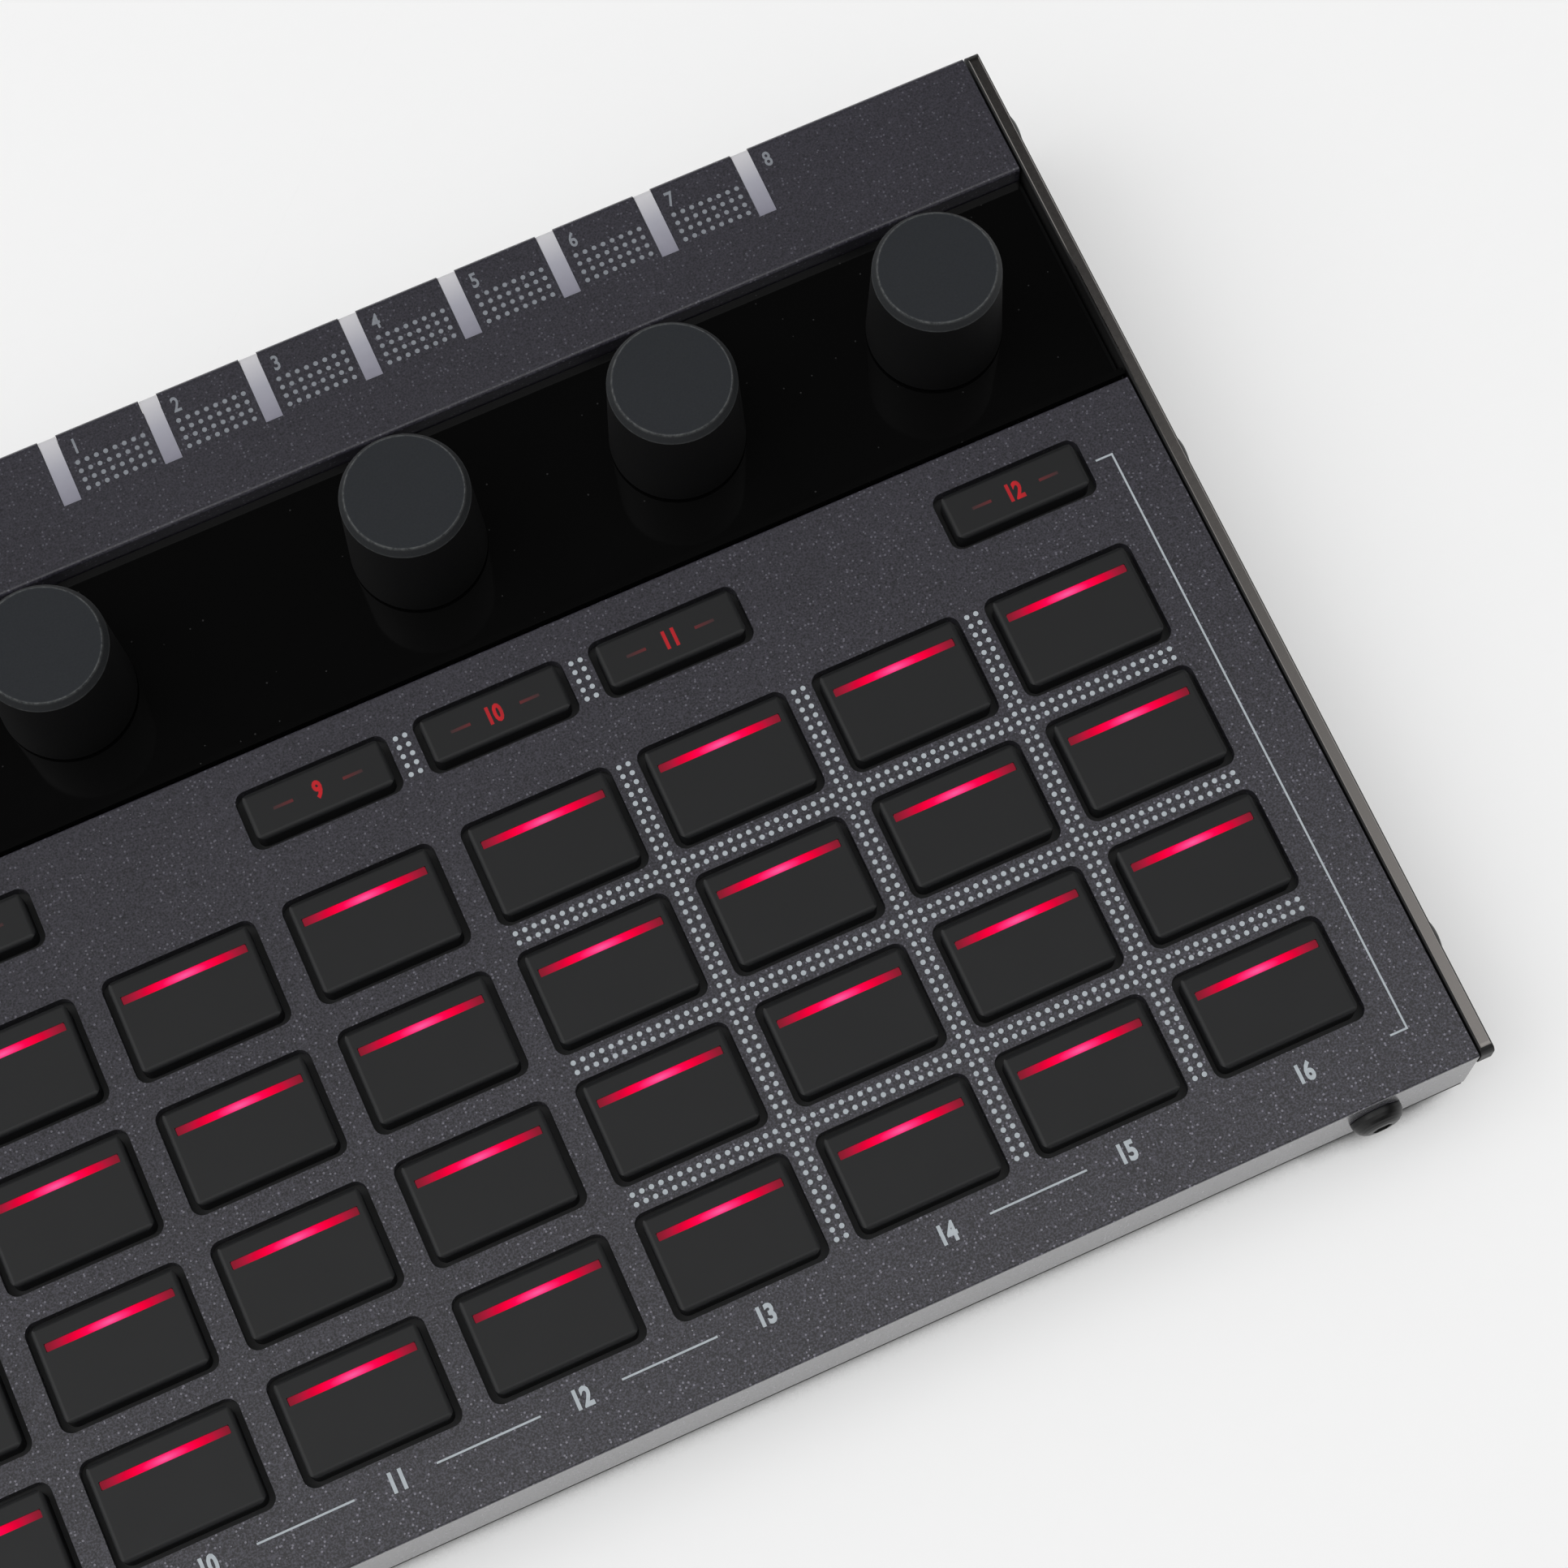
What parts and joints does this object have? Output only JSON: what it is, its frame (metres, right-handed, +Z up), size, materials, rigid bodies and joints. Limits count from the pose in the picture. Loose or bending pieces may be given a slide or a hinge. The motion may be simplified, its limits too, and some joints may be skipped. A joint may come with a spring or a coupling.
{
  "type": "step sequencer",
  "caption": "Flat wedge-shaped desktop step sequencer with a grid of lit rubber step keys, a row of function buttons, encoder knobs on a sunk gloss strip and a rear jack row.",
  "frame": {"origin": "centre of the part's box in plan, on the surface that the feet stand on", "axes": "+X to the player's right along the key rows, +Y from the player to the back wall, +Z up"},
  "size_m": [0.3406, 0.1286, 0.04],
  "materials": {
    "panel_paint": "anthracite powder coat with a fine sparkle",
    "cheek_paint": "satin black",
    "base_paint": "matt black",
    "strip_gloss": "polished black",
    "key_rubber": "soft matt silicone",
    "mat_rubber": "matt silicone",
    "foot_rubber": "matt",
    "knob_plastic": "fine matt",
    "button_plastic": "satin",
    "socket_plastic": "moulded black",
    "light_guide": "frosted translucent",
    "lamp_white": "moulded lens",
    "board_green": "solder mask",
    "display_glass": "dark glass face",
    "screw_black": "black oxide",
    "plated_nut": "nickel plated",
    "plated_brass": "nickel plated",
    "shell_steel": "tin plated",
    "shaft_metal": "turned",
    "print_ink": "pale screen print",
    "glow_red": "red lit lens"
  },
  "bodies": {
    "chassis": {"top_panel": "panel_paint", "rear_cover": "panel_paint", "control_strip": "strip_gloss", "left_cheek": "cheek_paint", "right_cheek": "cheek_paint", "base_tray": "base_paint", "rubber_feet": "foot_rubber", "cheek_screws": "screw_black", "base_screws": "screw_black", "main_board": "board_green", "board_standoffs": "plated_brass", "keypad_mat": "mat_rubber", "key_lamps": "lamp_white", "jack_board": "board_green", "jack_sockets": "socket_plastic", "jack_nuts": "plated_nut", "jack_light_guides": "light_guide", "usb_socket": "shell_steel", "power_socket": "socket_plastic", "power_switch": "socket_plastic", "display_module": "display_glass", "encoder_bodies": "shell_steel", "encoder_nuts": "plated_nut"},
    "knob_1": {"knob_1": "knob_plastic", "encoder_shaft_1": "shaft_metal"},
    "knob_2": {"knob_2": "knob_plastic", "encoder_shaft_2": "shaft_metal"},
    "knob_3": {"knob_3": "knob_plastic", "encoder_shaft_3": "shaft_metal"},
    "knob_4": {"knob_4": "knob_plastic", "encoder_shaft_4": "shaft_metal"},
    "power_button": {"power_button": "button_plastic"},
    "function_button_01": {"function_button_01": "key_rubber"},
    "function_button_03": {"function_button_03": "key_rubber"},
    "function_button_04": {"function_button_04": "key_rubber"},
    "function_button_05": {"function_button_05": "key_rubber"},
    "function_button_06": {"function_button_06": "key_rubber"},
    "function_button_08": {"function_button_08": "key_rubber"},
    "function_button_09": {"function_button_09": "key_rubber"},
    "function_button_10": {"function_button_10": "key_rubber"},
    "function_button_12": {"function_button_12": "key_rubber"},
    "function_button_13": {"function_button_13": "key_rubber"},
    "function_button_14": {"function_button_14": "key_rubber"},
    "function_button_16": {"function_button_16": "key_rubber"},
    "step_keys_col_01": {"step_keys_col_01": "key_rubber"},
    "step_keys_col_02": {"step_keys_col_02": "key_rubber"},
    "step_keys_col_03": {"step_keys_col_03": "key_rubber"},
    "step_keys_col_04": {"step_keys_col_04": "key_rubber"},
    "step_keys_col_05": {"step_keys_col_05": "key_rubber"},
    "step_keys_col_06": {"step_keys_col_06": "key_rubber"},
    "step_keys_col_07": {"step_keys_col_07": "key_rubber"},
    "step_keys_col_08": {"step_keys_col_08": "key_rubber"},
    "step_keys_col_09": {"step_keys_col_09": "key_rubber"},
    "step_keys_col_10": {"step_keys_col_10": "key_rubber"},
    "step_keys_col_11": {"step_keys_col_11": "key_rubber"},
    "step_keys_col_12": {"step_keys_col_12": "key_rubber"},
    "step_keys_col_13": {"step_keys_col_13": "key_rubber"},
    "step_keys_col_14": {"step_keys_col_14": "key_rubber"},
    "step_keys_col_15": {"step_keys_col_15": "key_rubber"},
    "step_keys_col_16": {"step_keys_col_16": "key_rubber"}
  },
  "joints": [
    {"name": "knob_1_turn", "type": "hinge", "parent": "chassis", "child": "knob_1", "pos_m": [0.05, 0.03351, 0.02373], "axis": [0, -0.1115, 0.9938], "continuous": true},
    {"name": "knob_2_turn", "type": "hinge", "parent": "chassis", "child": "knob_2", "pos_m": [0.0902, 0.03351, 0.02373], "axis": [0, -0.1115, 0.9938], "continuous": true},
    {"name": "knob_3_turn", "type": "hinge", "parent": "chassis", "child": "knob_3", "pos_m": [0.1204, 0.03351, 0.02373], "axis": [0, -0.1115, 0.9938], "continuous": true},
    {"name": "knob_4_turn", "type": "hinge", "parent": "chassis", "child": "knob_4", "pos_m": [0.1508, 0.03351, 0.02373], "axis": [0, -0.1115, 0.9938], "continuous": true},
    {"name": "power_button_press", "type": "slide", "parent": "chassis", "child": "power_button", "axis": [0, -0.9938, -0.1115], "range_m": [0, 0.0015], "stiffness_N_per_m": 300, "springref_m": -0.001},
    {"name": "function_button_01_press", "type": "slide", "parent": "chassis", "child": "function_button_01", "axis": [0, 0.1115, -0.9938], "range_m": [0, 0.0014], "stiffness_N_per_m": 300, "springref_m": -0.001},
    {"name": "function_button_03_press", "type": "slide", "parent": "chassis", "child": "function_button_03", "axis": [0, 0.1115, -0.9938], "range_m": [0, 0.0014], "stiffness_N_per_m": 300, "springref_m": -0.001},
    {"name": "function_button_04_press", "type": "slide", "parent": "chassis", "child": "function_button_04", "axis": [0, 0.1115, -0.9938], "range_m": [0, 0.0014], "stiffness_N_per_m": 300, "springref_m": -0.001},
    {"name": "function_button_05_press", "type": "slide", "parent": "chassis", "child": "function_button_05", "axis": [0, 0.1115, -0.9938], "range_m": [0, 0.0014], "stiffness_N_per_m": 300, "springref_m": -0.001},
    {"name": "function_button_06_press", "type": "slide", "parent": "chassis", "child": "function_button_06", "axis": [0, 0.1115, -0.9938], "range_m": [0, 0.0014], "stiffness_N_per_m": 300, "springref_m": -0.001},
    {"name": "function_button_08_press", "type": "slide", "parent": "chassis", "child": "function_button_08", "axis": [0, 0.1115, -0.9938], "range_m": [0, 0.0014], "stiffness_N_per_m": 300, "springref_m": -0.001},
    {"name": "function_button_09_press", "type": "slide", "parent": "chassis", "child": "function_button_09", "axis": [0, 0.1115, -0.9938], "range_m": [0, 0.0014], "stiffness_N_per_m": 300, "springref_m": -0.001},
    {"name": "function_button_10_press", "type": "slide", "parent": "chassis", "child": "function_button_10", "axis": [0, 0.1115, -0.9938], "range_m": [0, 0.0014], "stiffness_N_per_m": 300, "springref_m": -0.001},
    {"name": "function_button_12_press", "type": "slide", "parent": "chassis", "child": "function_button_12", "axis": [0, 0.1115, -0.9938], "range_m": [0, 0.0014], "stiffness_N_per_m": 300, "springref_m": -0.001},
    {"name": "function_button_13_press", "type": "slide", "parent": "chassis", "child": "function_button_13", "axis": [0, 0.1115, -0.9938], "range_m": [0, 0.0014], "stiffness_N_per_m": 300, "springref_m": -0.001},
    {"name": "function_button_14_press", "type": "slide", "parent": "chassis", "child": "function_button_14", "axis": [0, 0.1115, -0.9938], "range_m": [0, 0.0014], "stiffness_N_per_m": 300, "springref_m": -0.001},
    {"name": "function_button_16_press", "type": "slide", "parent": "chassis", "child": "function_button_16", "axis": [0, 0.1115, -0.9938], "range_m": [0, 0.0014], "stiffness_N_per_m": 300, "springref_m": -0.001},
    {"name": "step_keys_col_01_press", "type": "slide", "parent": "chassis", "child": "step_keys_col_01", "axis": [0, 0.1115, -0.9938], "range_m": [0, 0.0014], "stiffness_N_per_m": 600, "springref_m": -0.001},
    {"name": "step_keys_col_02_press", "type": "slide", "parent": "chassis", "child": "step_keys_col_02", "axis": [0, 0.1115, -0.9938], "range_m": [0, 0.0014], "stiffness_N_per_m": 600, "springref_m": -0.001},
    {"name": "step_keys_col_03_press", "type": "slide", "parent": "chassis", "child": "step_keys_col_03", "axis": [0, 0.1115, -0.9938], "range_m": [0, 0.0014], "stiffness_N_per_m": 600, "springref_m": -0.001},
    {"name": "step_keys_col_04_press", "type": "slide", "parent": "chassis", "child": "step_keys_col_04", "axis": [0, 0.1115, -0.9938], "range_m": [0, 0.0014], "stiffness_N_per_m": 600, "springref_m": -0.001},
    {"name": "step_keys_col_05_press", "type": "slide", "parent": "chassis", "child": "step_keys_col_05", "axis": [0, 0.1115, -0.9938], "range_m": [0, 0.0014], "stiffness_N_per_m": 600, "springref_m": -0.001},
    {"name": "step_keys_col_06_press", "type": "slide", "parent": "chassis", "child": "step_keys_col_06", "axis": [0, 0.1115, -0.9938], "range_m": [0, 0.0014], "stiffness_N_per_m": 600, "springref_m": -0.001},
    {"name": "step_keys_col_07_press", "type": "slide", "parent": "chassis", "child": "step_keys_col_07", "axis": [0, 0.1115, -0.9938], "range_m": [0, 0.0014], "stiffness_N_per_m": 600, "springref_m": -0.001},
    {"name": "step_keys_col_08_press", "type": "slide", "parent": "chassis", "child": "step_keys_col_08", "axis": [0, 0.1115, -0.9938], "range_m": [0, 0.0014], "stiffness_N_per_m": 600, "springref_m": -0.001},
    {"name": "step_keys_col_09_press", "type": "slide", "parent": "chassis", "child": "step_keys_col_09", "axis": [0, 0.1115, -0.9938], "range_m": [0, 0.0014], "stiffness_N_per_m": 600, "springref_m": -0.001},
    {"name": "step_keys_col_10_press", "type": "slide", "parent": "chassis", "child": "step_keys_col_10", "axis": [0, 0.1115, -0.9938], "range_m": [0, 0.0014], "stiffness_N_per_m": 600, "springref_m": -0.001},
    {"name": "step_keys_col_11_press", "type": "slide", "parent": "chassis", "child": "step_keys_col_11", "axis": [0, 0.1115, -0.9938], "range_m": [0, 0.0014], "stiffness_N_per_m": 600, "springref_m": -0.001},
    {"name": "step_keys_col_12_press", "type": "slide", "parent": "chassis", "child": "step_keys_col_12", "axis": [0, 0.1115, -0.9938], "range_m": [0, 0.0014], "stiffness_N_per_m": 600, "springref_m": -0.001},
    {"name": "step_keys_col_13_press", "type": "slide", "parent": "chassis", "child": "step_keys_col_13", "axis": [0, 0.1115, -0.9938], "range_m": [0, 0.0014], "stiffness_N_per_m": 600, "springref_m": -0.001},
    {"name": "step_keys_col_14_press", "type": "slide", "parent": "chassis", "child": "step_keys_col_14", "axis": [0, 0.1115, -0.9938], "range_m": [0, 0.0014], "stiffness_N_per_m": 600, "springref_m": -0.001},
    {"name": "step_keys_col_15_press", "type": "slide", "parent": "chassis", "child": "step_keys_col_15", "axis": [0, 0.1115, -0.9938], "range_m": [0, 0.0014], "stiffness_N_per_m": 600, "springref_m": -0.001},
    {"name": "step_keys_col_16_press", "type": "slide", "parent": "chassis", "child": "step_keys_col_16", "axis": [0, 0.1115, -0.9938], "range_m": [0, 0.0014], "stiffness_N_per_m": 600, "springref_m": -0.001}
  ]
}
